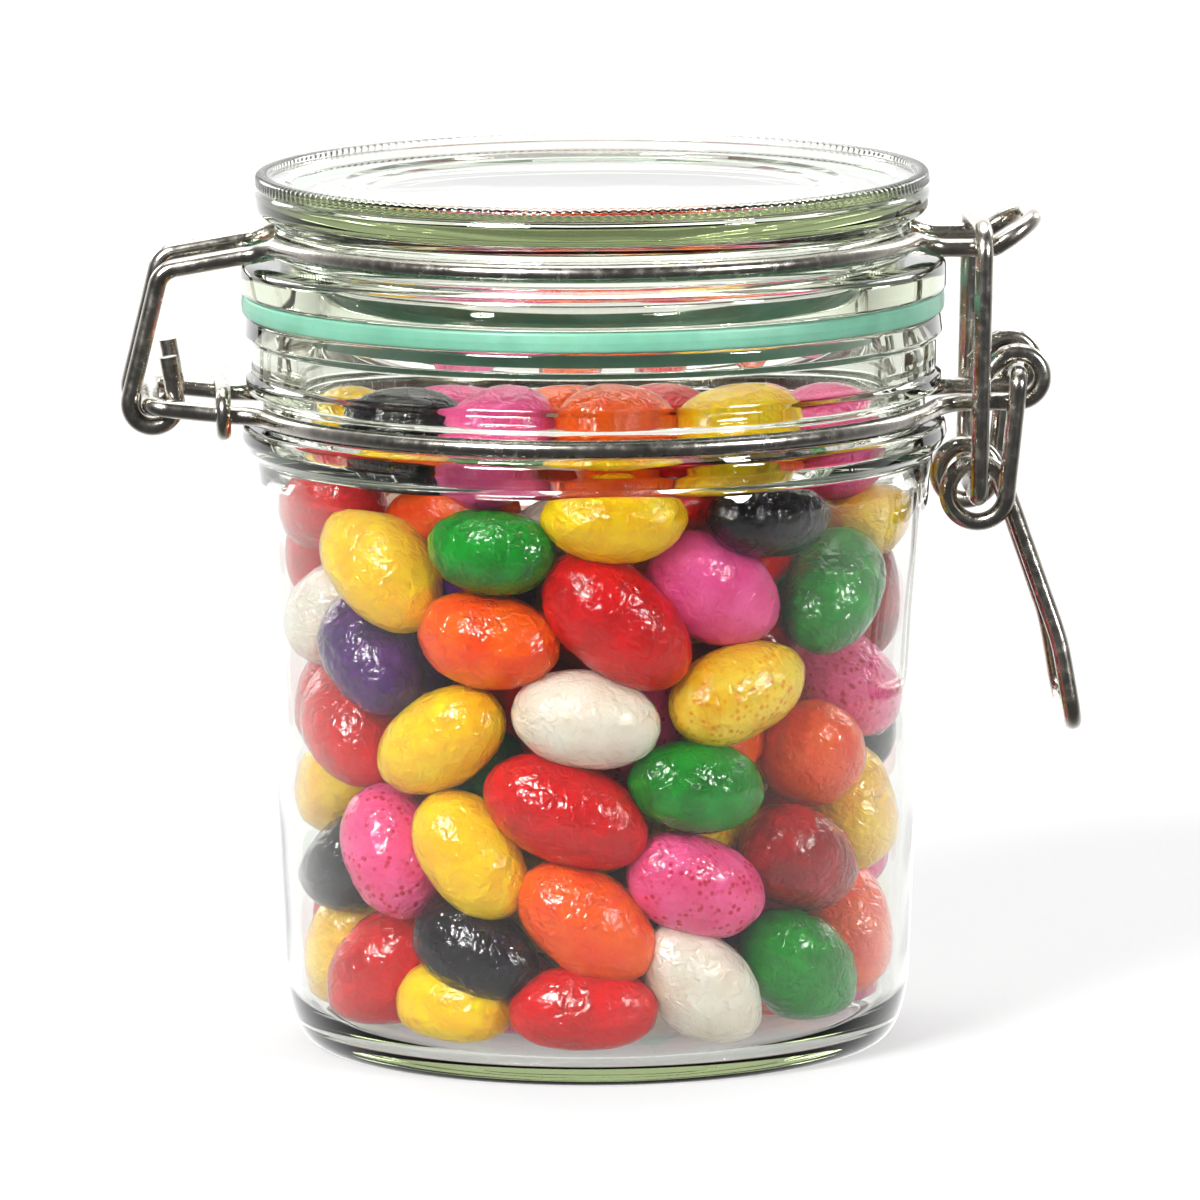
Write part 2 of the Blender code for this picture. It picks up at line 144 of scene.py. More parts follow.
# Each bean seen at the front: kind, degrees round the jar from the front towards +X, height in
# millimetres, tilt in degrees up to the right, degrees it points inwards, depth behind the wall,
# length and width.
SEEN_BEANS = (
    ("yellow", -82, 89, 10, 0, 0, 20, 13), ("black", -50, 87, 0, 40, 0, 17, 12.5),
    ("pink", -42, 91, 0, 30, 6, 20, 13), ("pink", -26, 90, 60, 20, 0, 18, 13.5),
    ("orange", -6, 93, 0, 20, 11, 20, 13), ("orange", 4, 88, -10, 40, 0, 18, 13.5),
    ("red", 14, 90, 20, 30, 6, 20, 13), ("yellow", 32, 89, 12, 10, 0, 19, 13),
    ("orange", 54, 91, 0, 20, 6, 20, 13), ("pink", 76, 88, 20, 30, 0, 19, 13),
    ("red", -80, 78, 30, 20, 0, 20, 13), ("red", -92, 70, 70, 20, 0, 20, 13),
    ("yellow", -56, 70, -52, 0, 0, 21, 13.8), ("orange", -42, 79, 20, 20, 4, 20, 13),
    ("green", -23, 73, -4, 0, 0, 17.8, 12.8), ("yellow", 2, 79, 0, 0, 0, 19.6, 12.8),
    ("red", 22, 83, 0, 20, 7, 20, 13), ("black", 34, 76, -4, 0, 0, 20, 12),
    ("yellow", 79, 75, 20, 10, 0, 19, 13), ("pink", 23, 67, -32, 0, 0, 20.4, 14.4),
    ("green", 60, 65, 42, 0, 0, 20, 13), ("red", 3, 64, -44, 0, 0, 23.4, 14.6),
    ("orange", -25, 61, -10, 0, 0, 20.2, 13.2), ("white", -86, 60, 70, 40, 0, 17, 13),
    ("purple", -56, 57, -52, 0, 0, 19.5, 12.4), ("dark_red", 88, 63, 80, 10, 0, 20, 13),
    ("speckled_pink", 80, 51, 60, 50, 0, 18.5, 13.6), ("speckled_yellow", 29, 53, 30, 0, 0, 20.2, 13),
    ("dark_red", 51, 56, 0, 30, 7, 20, 13), ("red", -72, 46, -45, 0, 0, 20.6, 14),
    ("red", -95, 48, 60, 20, 0, 20, 13), ("yellow", -37, 46, 35, 0, 0, 20.7, 13),
    ("white", -4, 50, -6, 0, 0, 20.4, 13.4), ("green", 20, 41, -8, 0, 0, 19.4, 12.8),
    ("orange", 53, 43, -35, 35, 0, 19, 14.2), ("black", 97, 42, 20, 10, 0, 18, 12.5),
    ("yellow", 84, 33, 70, 10, 0, 19, 13), ("red", -8, 37, -27, 0, 0, 23.3, 14.2),
    ("yellow", -80, 37, 40, 20, 0, 19, 13), ("speckled_pink", -56, 30, -62, 0, 0, 19.6, 13.4),
    ("yellow", -30, 30, -58, 0, 0, 19.8, 13), ("dark_red", 49, 28, -30, 0, 0, 20.7, 13.8),
    ("speckled_pink", 19, 26, -26, 0, 0, 20.3, 13.6), ("black", -80, 25, 70, 40, 0, 16, 12.6),
    ("orange", -4, 21, -32, 0, 0, 21.3, 13.8), ("orange", 80, 17, 70, 20, 0, 20, 13),
    ("pink", 98, 25, 30, 10, 0, 18, 12.5), ("yellow", -86, 15, 60, 10, 0, 18, 13),
    ("red", -62, 13, 70, 40, 0, 19, 14.6), ("black", -29, 16, -26, 0, 0, 19.2, 12.5),
    ("green", 49, 13, -38, 0, 0, 20.7, 14), ("white", 20, 11, -48, 0, 0, 20.5, 13.4),
    ("yellow", -36, 7, 0, 0, 0, 17.5, 12), ("red", -5, 8, 4, 0, 0, 20.7, 12.4),
    ("orange", 38, 9, 0, 20, 10, 20, 13), ("purple", 28, 18, 0, 20, 9, 20, 13),
    ("pink", 96, 10, 0, 10, 0, 18, 13),
)
# What share of the other beans is of each kind
KIND_SHARES = {
    "red": 5, "dark_red": 2, "orange": 4, "yellow": 5, "speckled_yellow": 1, "green": 3,
    "pink": 3, "speckled_pink": 2, "white": 2, "purple": 1, "black": 2,
}
# Shell colour, the colour of its patches, and of its specks, as shown on a screen
KIND_COLOURS = {
    "red": ((218, 4, 18), (196, 2, 12), None),
    "dark_red": ((176, 4, 24), (140, 2, 14), None),
    "orange": ((253, 96, 4), (244, 70, 2), None),
    "yellow": ((255, 214, 10), (250, 186, 2), None),
    "speckled_yellow": ((250, 214, 66), (246, 186, 16), (240, 160, 10)),
    "green": ((8, 148, 38), (2, 116, 20), None),
    "pink": ((240, 92, 158), (228, 74, 138), None),
    "speckled_pink": ((243, 90, 150), (234, 68, 126), (208, 16, 74)),
    "white": ((240, 232, 218), (232, 220, 200), None),
    "purple": ((84, 34, 112), (58, 20, 84), None),
    "black": ((28, 18, 34), (14, 8, 18), None),
}


def linear(colour):
    """A screen colour of 0 to 255 as linear light, with its alpha."""
    return tuple((part / 255.0) ** 2.2 for part in colour) + (1.0,)


# ---------------------------------------------------------------- materials

class Nodes:
    """Short calls for a material's node tree."""

    def __init__(self, name):
        self.material = bpy.data.materials.new(name)
        self.material.use_nodes = True
        self.tree = self.material.node_tree
        self.shader = self.tree.nodes["Principled BSDF"]
        self.output = self.tree.nodes["Material Output"]

    def add(self, kind, **values):
        """A node, with the values of its inputs by name and of its settings in small letters."""
        node = self.tree.nodes.new(kind)
        for key, value in values.items():
            if key in node.inputs:
                node.inputs[key].default_value = value
            else:
                setattr(node, key, value)
        return node

    def link(self, source, target):
        """Links an output to an input."""
        self.tree.links.new(source, target)

    def set(self, **values):
        """Sets the shader's own inputs. An underscore stands for a space."""
        for key, value in values.items():
            self.shader.inputs[key.replace("_", " ")].default_value = value

    def place(self):
        """The object's own coordinates."""
        return self.add("ShaderNodeTexCoord").outputs["Object"]

    def noise(self, scale, detail=2.0, distortion=0.0):
        """Noise with a scale per metre."""
        node = self.add("ShaderNodeTexNoise", Scale=scale, Detail=detail, Distortion=distortion)
        self.link(self.place(), node.inputs["Vector"])
        return node.outputs["Fac"]

    def ramp(self, source, *stops):
        """A colour ramp of (place, colour) stops."""
        node = self.add("ShaderNodeValToRGB")
        for index, (place, colour) in enumerate(stops):
            if index < 2:
                stop = node.color_ramp.elements[index]
                stop.position = place
            else:
                stop = node.color_ramp.elements.new(place)
            stop.color = colour
        self.link(source, node.inputs["Fac"])
        return node.outputs["Color"]

    def mix(self, share, first, second):
        """Two colours mixed by a share."""
        node = self.add("ShaderNodeMix", data_type="RGBA")
        self.link(share, node.inputs["Factor"])
        for socket, colour in ((node.inputs[6], first), (node.inputs[7], second)):
            if isinstance(colour, tuple):
                socket.default_value = colour
            else:
                self.link(colour, socket)
        return node.outputs[2]

    def bump(self, height, distance, before=None):
        """A bump whose height is in metres."""
        node = self.add("ShaderNodeBump", Distance=distance, Strength=1.0)
        self.link(height, node.inputs["Height"])
        if before is not None:
            self.link(before, node.inputs["Normal"])
        return node.outputs["Normal"]


GREY_BLACK, GREY_WHITE = (0.0, 0.0, 0.0, 1.0), (1.0, 1.0, 1.0, 1.0)


def glass_material():
    """Clear pressed glass, green where light goes a long way through it."""
    made = Nodes("clear_glass")
    made.set(Base_Color=(1.0, 1.0, 1.0, 1.0), Roughness=0.0, IOR=1.5, Transmission_Weight=1.0,
             Specular_IOR_Level=0.3)
    waves = made.bump(made.noise(55.0, 1.0), 0.10 * MM)
    made.link(waves, made.shader.inputs["Normal"])
    tint = made.add("ShaderNodeVolumeAbsorption", Density=32.0, Color=(0.46, 0.53, 0.27, 1.0))
    made.link(tint.outputs["Volume"], made.output.inputs["Volume"])
    return made.material


def rubber_material():
    """Soft mint green rubber, a little translucent."""
    made = Nodes("mint_rubber")
    made.set(Roughness=0.42, Specular_IOR_Level=0.4, Subsurface_Weight=0.25, Subsurface_Scale=2.0 * MM)
    cloudy = made.noise(140.0, 3.0)
    colour = made.ramp(cloudy, (0.3, linear((90, 142, 120))), (0.7, linear((108, 160, 138))))
    made.link(colour, made.shader.inputs["Base Color"])
    made.link(made.bump(made.noise(2500.0, 2.0), 0.02 * MM), made.shader.inputs["Normal"])
    return made.material


def steel_material():
    """Bright drawn steel wire."""
    made = Nodes("steel_wire")
    made.set(Metallic=1.0)
    patches = made.noise(260.0, 4.0, 0.4)
    colour = made.ramp(patches, (0.3, (0.37, 0.35, 0.31, 1.0)), (0.7, (0.55, 0.52, 0.47, 1.0)))
    made.link(colour, made.shader.inputs["Base Color"])
    dull, duller = (0.16, 0.16, 0.16, 1.0), (0.32, 0.32, 0.32, 1.0)
    worn = made.ramp(made.noise(700.0, 3.0), (0.3, dull), (0.75, duller))
    made.link(worn, made.shader.inputs["Roughness"])
    made.link(made.bump(made.noise(1800.0, 3.0), 0.015 * MM), made.shader.inputs["Normal"])
    return made.material


def bean_material(kind):
    """A glossy sugar shell with soft patches, fine pits, and specks on some kinds."""
    shell, patch, speck = KIND_COLOURS[kind]
    made = Nodes("shell_" + kind)
    made.set(Roughness=0.4, Specular_IOR_Level=0.05, Coat_Weight=1.0, Coat_Roughness=0.04, Coat_IOR=1.45,
             Subsurface_Weight=0.12, Subsurface_Scale=2.0 * MM)
    share = made.ramp(made.noise(210.0, 4.0, 0.3), (0.38, GREY_BLACK), (0.66, GREY_WHITE))
    colour = made.mix(share, linear(shell), linear(patch))
    if speck is not None:
        cells = made.add("ShaderNodeTexVoronoi", Scale=900.0, Randomness=1.0)
        made.link(made.place(), cells.inputs["Vector"])
        spots = made.ramp(cells.outputs["Distance"], (0.24, GREY_WHITE), (0.40, GREY_BLACK))
        sown = made.ramp(made.noise(260.0, 1.0), (0.40, GREY_BLACK), (0.52, GREY_WHITE))
        both = made.add("ShaderNodeMath", operation="MULTIPLY")
        made.link(spots, both.inputs[0])
        made.link(sown, both.inputs[1])
        colour = made.mix(both.outputs[0], colour, linear(speck))
    made.link(colour, made.shader.inputs["Base Color"])
    craters = made.add("ShaderNodeTexVoronoi", Scale=470.0)
    made.link(made.place(), craters.inputs["Vector"])
    dents = made.bump(craters.outputs["Distance"], 0.13 * MM)
    wrinkles = made.bump(made.noise(640.0, 1.5, 0.9), 0.42 * MM, before=dents)
    pits = made.bump(made.noise(1700.0, 2.0, 0.4), 0.10 * MM, before=wrinkles)
    made.link(pits, made.shader.inputs["Normal"])
    made.link(pits, made.shader.inputs["Coat Normal"])
    return made.material


def core_material():
    """Bean-sized cells in the warm colours of the heap, for what shows deep between the beans."""
    made = Nodes("heap_core")
    made.set(Roughness=0.4, Coat_Weight=0.5)
    cells = made.add("ShaderNodeTexVoronoi", Scale=75.0)
    made.link(made.place(), cells.inputs["Vector"])
    pick = made.add("ShaderNodeSeparateColor")
    made.link(cells.outputs["Color"], pick.inputs[0])
    colour = made.ramp(
        pick.outputs[0],
        (0.0, linear(KIND_COLOURS["red"][0])), (1.0, linear(KIND_COLOURS["orange"][0])),
        (0.35, linear(KIND_COLOURS["dark_red"][0])), (0.7, linear(KIND_COLOURS["yellow"][1])),
    )
    made.link(colour, made.shader.inputs["Base Color"])
    made.link(made.bump(made.noise(300.0, 2.0), 0.5 * MM), made.shader.inputs["Normal"])
    return made.material


# ---------------------------------------------------------------- meshes

def add_piece(name, data, finish, slot, body, *nodes):
    """A piece with its finish, which rides on a body and may stand for CAD nodes."""
    piece = bpy.data.objects.new(name, data)
    bpy.context.scene.collection.objects.link(piece)
    data.materials.append(finish)
    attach(piece, body)
    if nodes:
        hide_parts(*nodes)
    return piece


def smooth_mesh(name, points, faces):
    """A smooth-shaded mesh whose faces point out."""
    mesh = bpy.data.meshes.new(name)
    mesh.from_pydata([tuple(point) for point in points], [], faces)
    work = bmesh.new()
    work.from_mesh(mesh)
    bmesh.ops.recalc_face_normals(work, faces=work.faces)
    work.to_mesh(mesh)
    work.free()
    mesh.shade_smooth()
    return mesh


def rounded(corners, closed=False, steps=4):
    """An outline of (radius, height, fillet) corners in millimetres, as points in metres."""
    count = len(corners)
    outline = []
    for index, (radius, height, fillet) in enumerate(corners):
        if fillet == 0.0 or (not closed and index in (0, count - 1)):
            outline.append((radius * MM, height * MM))
            continue
        here = np.array((radius, height))
        back = np.array(corners[index - 1][:2]) - here
        on = np.array(corners[(index + 1) % count][:2]) - here
        near = min(np.linalg.norm(back), np.linalg.norm(on)) * 0.49
        back, on = back / np.linalg.norm(back), on / np.linalg.norm(on)
        half = math.acos(max(-1.0, min(1.0, float(back @ on)))) / 2.0
        reach = min(near, fillet / math.tan(half))
        for step in range(steps + 1):
            share = step / steps
            spot = here + back * reach * (1.0 - share) ** 2 + on * reach * share ** 2
            outline.append((spot[0] * MM, spot[1] * MM))
    return outline


def turned(name, outline, steps, closed=False, shape=None):
    """A turned mesh. The shape function may move a point of the outline by its turn."""
    points, rings = [], []
    for radius, height in outline:
        if radius < 1e-7:
            rings.append([len(points)] * steps)
            points.append((0.0, 0.0, height))
            continue
        rings.append(list(range(len(points), len(points) + steps)))
        for step in range(steps):
            turn = math.tau * step / steps
            r, z = shape(turn, radius, height) if shape else (radius, height)
            points.append((r * math.cos(turn), r * math.sin(turn), z))
    pairs = list(zip(rings, rings[1:]))
    if closed:
        pairs.append((rings[-1], rings[0]))
    faces = []
    for one, other in pairs:
        for step in range(steps):
            after = (step + 1) % steps
            face = [one[step], other[step], other[after], one[after]]
            faces.append(list(dict.fromkeys(face)))
    return smooth_mesh(name, points, faces)


def wire(name, points, radius, finish, body, *nodes, closed=False):
    """A round wire along a path, as a piece that stands for a CAD node."""
    curve = bpy.data.curves.new(name, "CURVE")
    curve.dimensions = "3D"
    curve.bevel_depth = radius
    curve.bevel_resolution = 5
    curve.use_fill_caps = not closed
    spline = curve.splines.new("POLY")
    spline.points.add(len(points) - 1)
    for spot, place in zip(spline.points, points):
        spot.co = (*place, 1.0)
    spline.use_cyclic_u = closed
    spline.use_smooth = True
    return add_piece(name, curve, finish, "steel_wire", body, *nodes)


# ---------------------------------------------------------------- glass

def wall_radius(height):
    """The outer radius of the jar's tapered wall, in millimetres."""
    share = (height - BASE_CORNER_UP) / (WALL_TOP_Z - BASE_CORNER_UP)
    return WALL_FOOT_R + (WALL_TOP_R - WALL_FOOT_R) * share


def quarter(centre_r, centre_z, across, up, start, end, steps):
    """Corners without fillets on a quarter of an ellipse."""
    points = []
    for step in range(steps + 1):
        turn = math.radians(start + (end - start) * step / steps)
        points.append((centre_r + across * math.cos(turn), centre_z + up * math.sin(turn), 0.0))
    return points


def jar_inside():
    """The jar's inner outline in millimetres, from the middle of its floor to its mouth."""
    foot_z = FLOOR + INNER_CORNER_UP
    corner_r = wall_radius(foot_z) - WALL - INNER_CORNER_R
    outline = [(0.0, FLOOR + 0.5, 0.0), (22.0, FLOOR + 0.35, 8.0), (corner_r - 1.5, FLOOR, 3.0)]
    outline += quarter(corner_r, foot_z, INNER_CORNER_R, INNER_CORNER_UP, -85.0, 0.0, 10)
    outline += [(wall_radius(44.0) - WALL, 44.0, 0.0), (wall_radius(78.5) - WALL, 78.5, 3.0)]
    outline += [(44.2, 82.0, 3.0), (42.7, 85.3, 2.5), (MOUTH_R, 88.3, 3.0), (MOUTH_R, 101.0, 0.8)]
    return outline


def jar_glass(finish):
    """The jar: a punted base, a tapered wall, two beads with the wire's groove, and a rim."""
    rim = RIM_Z / MM
    outline = jar_inside()
    outline += [(41.9, rim, 0.6), (48.0, rim, 0.7), (48.35, 98.7, 0.6), (47.6, 98.0, 0.6)]
    outline += [(47.45, 93.6, 0.8), (48.15, 92.9, 0.7), (48.1, 91.0, 0.9), (46.1, 90.2, 0.6)]
    outline += [(46.05, 86.9, 0.6), (48.6, 86.4, 1.0), (FLANGE_R / MM, 84.5, 1.2), (48.2, 83.0, 0.9)]
    outline += [(47.0, 82.0, 1.6), (wall_radius(78.0) + 0.05, 78.0, 5.0), (wall_radius(44.0), 44.0, 0.0)]
    across = WALL_FOOT_R - 39.5
    outline += quarter(39.5, BASE_CORNER_UP, across, BASE_CORNER_UP, 0.0, -88.0, 14)
    outline += [(38.6, 0.0, 0.4), (37.4, 0.6, 0.6), (30.0, 0.9, 2.0), (0.0, 1.2, 0.0)]
    mesh = turned("jar_glass", rounded(outline), LATHE_STEPS)
    return add_piece("jar_glass", mesh, finish, "clear_glass", JAR_BODY, "jar")


def beaded(turn, radius, height):
    """Pinches the lid's edge bead into a fine rope of small beads."""
    centre_r, centre_z = 45.75 * MM, 120.1 * MM
    reach = math.hypot(radius - centre_r, height - centre_z)
    weight = max(0.0, min(1.0, (1.55 * MM - reach) / (0.5 * MM)))
    if radius < centre_r - 0.9 * MM or height < centre_z - 0.85 * MM:
        weight = 0.0
    slant = 0.5 * math.atan2(height - centre_z, radius - centre_r)
    pinch = 1.0 - 0.42 * weight * (1.0 - abs(math.cos(turn * BEAD_COUNT / 2.0 + slant)) ** 0.7)
    return centre_r + (radius - centre_r) * pinch, centre_z + (height - centre_z) * pinch


def lid_glass(finish):
    """The lid: a beaded edge, a shallow recess, the wire's groove, a skirt and a hollow underside."""
    top = LID_TOP_Z / MM
    outline = [(0.0, 118.6, 0.0), (30.6, 118.6, 0.6), (31.4, 118.95, 0.6), (34.0, 118.95, 0.6)]
    outline += [(34.8, 119.4, 0.6), (41.4, 119.3, 0.8), (42.5, 119.95, 0.8), (44.6, 120.0, 0.3)]
    outline += [(44.85, top - 0.05, 0.5), (46.5, top - 0.05, 0.8), (46.6, 119.3, 0.6), (46.35, 118.9, 0.3)]
    outline += [(46.75, 118.3, 0.9), (46.6, 115.8, 1.4), (44.0, 114.2, 0.6), (43.95, 109.6, 0.5)]
    outline += [(46.4, 109.25, 0.8), (48.85, 108.8, 1.5), (48.85, 104.55, 0.6), (40.7, 104.55, 0.5)]
    outline += [(40.0, 101.6, 0.4), (39.9, 98.4, 0.6), (38.2, 98.2, 0.6)]
    outline += [(37.5, 109.0, 2.0), (36.4, 113.6, 2.0), (33.4, 115.3, 2.0), (0.0, 115.4, 0.0)]
    mesh = turned("lid_glass", rounded(outline, steps=3), BEAD_COUNT * STEPS_IN_A_BEAD, shape=beaded)
    return add_piece("lid_glass", mesh, finish, "clear_glass", JAR_BODY, "lid")


def gasket_ring(finish):
    """The rubber ring, pressed between the glass faces, with a thin lip down inside the mouth."""
    low, high = 101.6, 104.4
    outline = [(40.15, 98.6, 0.2), (40.15, 101.9, 0.4), (40.95, high, 0.4), (48.5, high, 0.5)]
    outline += [(48.6, 103.0, 1.2), (48.5, low, 0.5), (41.9, low, 0.5)]
    outline += [(40.85, 100.6, 0.6), (40.75, 98.6, 0.2)]
    mesh = turned("gasket_ring", rounded(outline, closed=True), LATHE_STEPS, closed=True)
    return add_piece("gasket_ring", mesh, finish, "mint_rubber", JAR_BODY, "gasket")


# ---------------------------------------------------------------- wires

def in_xz(centre, radius, degrees, y):
    """The point at an angle on a circle that lies across Y."""
    turn = math.radians(degrees)
    return Vector((centre.x + radius * math.cos(turn), y, centre.z + radius * math.sin(turn)))


def heading(degrees):
    """A direction across Y."""
    return in_xz(Vector(), 1.0, degrees, 0.0)


def arc_xz(centre, radius, start, end, steps, y_start, y_end=None):
    """Points on an arc across Y, whose Y may change evenly along it."""
    y_end = y_start if y_end is None else y_end
    points = []
    for step in range(steps + 1):
        share = step / steps
        y = y_start + (y_end - y_start) * share
        points.append(in_xz(centre, radius, start + (end - start) * share, y))
    return points


def arc_xy(centre_x, centre_y, radius, start, end, steps, z_start, z_end):
    """Points on a level arc, whose height may change smoothly along it."""
    points = []
    for step in range(steps + 1):
        share = step / steps
        turn = math.radians(start + (end - start) * share)
        z = z_start + (z_end - z_start) * share * share * (3.0 - 2.0 * share)
        points.append(Vector((centre_x + radius * math.cos(turn), centre_y + radius * math.sin(turn), z)))
    return points


def bend(before, corner, after, radius, steps=9):
    """The points of the arc that rounds the corner between two straight stretches."""
    back = (before - corner).normalized()
    on = (after - corner).normalized()
    half = back.angle(on) / 2.0
    reach = radius / math.tan(half)
    middle = corner + (back + on).normalized() * (radius / math.sin(half))
    first = corner + back * reach - middle
    last = corner + on * reach - middle
    sweep = first.angle(last)
    points = []
    for step in range(steps + 1):
        share = step / steps
        mix = (first * math.sin((1.0 - share) * sweep) + last * math.sin(share * sweep)) / math.sin(sweep)
        points.append(middle + mix)
    return points


def mirrored(points):
    """The same path on the other side of the XZ plane, run backwards."""
    return [Vector((p.x, -p.y, p.z)) for p in reversed(points)]


def half_ring(radius, height, left_y, left_z, right_y, right_z):
    """The front half of a ring round the glass, with an arm along X at each end."""
    ends = []
    for arm_y in (left_y, right_y):
        across = arm_y + SWERVE_R
        out = math.sqrt((radius + SWERVE_R) ** 2 - across ** 2)
        ends.append((out, across, math.degrees(math.asin(across / (radius + SWERVE_R)))))
    (left_x, left_across, left_turn), (right_x, right_across, right_turn) = ends
    path = arc_xy(-left_x, -left_across, SWERVE_R, 90.0, left_turn, 10, left_z, height)
    path += arc_xy(0, 0, radius, 180.0 + left_turn, 360.0 - right_turn, RING_STEPS, height, height)[1:-1]
    path += arc_xy(right_x, -right_across, SWERVE_R, 180.0 - right_turn, 90.0, 10, height, right_z)
    return path


def lid_wire(finish):
    """One wire round the lid: hooked ends at the hinge, and a closed tip at the clamp."""
    y = -LID_ARM_Y
    hook = arc_xz(HOOK_CENTRE, HOOK_R, HOOK_EXIT_DEG, HOOK_ENTRY_DEG, 28, y)
    stub = hook[0] + heading(HOOK_EXIT_DEG + 90.0) * HOOK_STUB
    knee = hook[-1] + heading(HOOK_ENTRY_DEG - 90.0) * ARM_DROP
    around = half_ring(LID_RING_R, LID_RING_Z, LID_ARM_Y, LID_ARM_Z, LID_ARM_Y, LID_ARM_Z)
    path = [stub] + hook + bend(hook[-1], knee, around[0], 3.0 * MM) + around
    tip_corner = Vector((TIP_CORNER_X, y, LID_ARM_Z))
    tip = tip_corner + heading(TIP_RISE_DEG) * TIP_LENGTH
    path += bend(around[-1], tip_corner, tip, 2.0 * MM)
    path += bend(tip_corner, tip, Vector((tip.x, 0.0, tip.z)), 5.0 * MM, 14)
    return wire("lid_wire_round", path + mirrored(path), WIRE_R, finish, JAR_BODY, "lid_wire")


def neck_wire(finish):
    """One wire round the neck: a hinge bar at -X, and an eye at each end for the lever's pins."""
    eye_bottom = EYE_CENTRE.z - EYE_R
    hinge_z = NECK_RING_Z + 0.4 * MM
    around = half_ring(NECK_RING_R, NECK_RING_Z, HINGE_ARM_Y, hinge_z, CLAMP_ARM_Y, eye_bottom)
    hinge_corner = Vector((HINGE_BAR.x, -HINGE_ARM_Y, HINGE_BAR.z))
    path = bend(HINGE_BAR, hinge_corner, around[0], 2.4 * MM) + around
    path += arc_xz(EYE_CENTRE, EYE_R, -90.0, EYE_SWEEP_DEG - 90.0, 28, -CLAMP_ARM_Y)
    path.append(path[-1] + heading(EYE_SWEEP_DEG) * EYE_TAIL)
    return wire("neck_wire_round", mirrored(path) + path, WIRE_R, finish, JAR_BODY, "neck_wire")


def clip_ring(finish):
    """The small ring that ties the two hinge arms together."""
    share = (CLIP_X + NECK_RING_R) / (HINGE_BAR.x + NECK_RING_R)
    arm_z = NECK_RING_Z + 0.4 * MM
    height = arm_z + (HINGE_BAR.z - arm_z) * share
    path = []
    for side, start in ((-1, 90.0), (1, 270.0)):
        for step in range(17):
            turn = math.radians(start + 180.0 * step / 16)
            y = side * HINGE_ARM_Y + CLIP_REACH * math.cos(turn)
            path.append(Vector((CLIP_X, y, height + CLIP_REACH * math.sin(turn))))
    return wire("clip_ring_round", path, CLIP_WIRE_R, finish, JAR_BODY, "clip_ring", closed=True)


def link(finish):
    """The closed link that hangs on the lid wire and runs through the lever's coils."""
    low = LINK_TOP + (COIL_CENTRE - LINK_TOP).normalized() * LINK_LENGTH
    front_top, front_low, back_top, back_low = (
        Vector((spot.x, side * LINK_Y, spot.z)) for side in (-1, 1) for spot in (LINK_TOP, low))
    path = bend(back_top, front_top, front_low, 4.0 * MM, 12)
    path += bend(front_top, front_low, back_low, 1.8 * MM)
    path += bend(front_low, back_low, back_top, 1.8 * MM)
    path += bend(back_low, back_top, front_top, 4.0 * MM, 12)
    return wire("link_round", path, WIRE_R, finish, LINK_BODY, "link", closed=True)


def lever(finish):
    """The clamp's lever: two pins in the eyes, a coil on each leg, and a wide bail handle."""
    y = -LEVER_Y
    to_coil = COIL_CENTRE - PIVOT
    leg_deg = math.degrees(math.atan2(to_coil.z, to_coil.x))
    leg_deg += math.degrees(math.asin(COIL_R / to_coil.length))
    coil = arc_xz(COIL_CENTRE, COIL_R, leg_deg + 90.0, HANDLE_DEG + 90.0 - 360.0, 60, y, y + COIL_PITCH)
    pin_end = Vector((PIVOT.x, -PIN_END_Y, PIVOT.z))
    pin_corner = Vector((PIVOT.x, y, PIVOT.z))
    path = [pin_end] + bend(pin_end, pin_corner, coil[0], 1.8 * MM) + coil
    knee = Vector((HANDLE_BEND.x, y, HANDLE_BEND.z))
    end = Vector((HANDLE_END.x, -HANDLE_Y, HANDLE_END.z))
    path += bend(coil[-1], knee, end, 30.0 * MM)
    path += bend(knee, end, HANDLE_END, 3.6 * MM)
    return wire("lever_round", path + mirrored(path), WIRE_R, finish, LEVER_BODY, "lever")


# ---------------------------------------------------------------- jelly beans

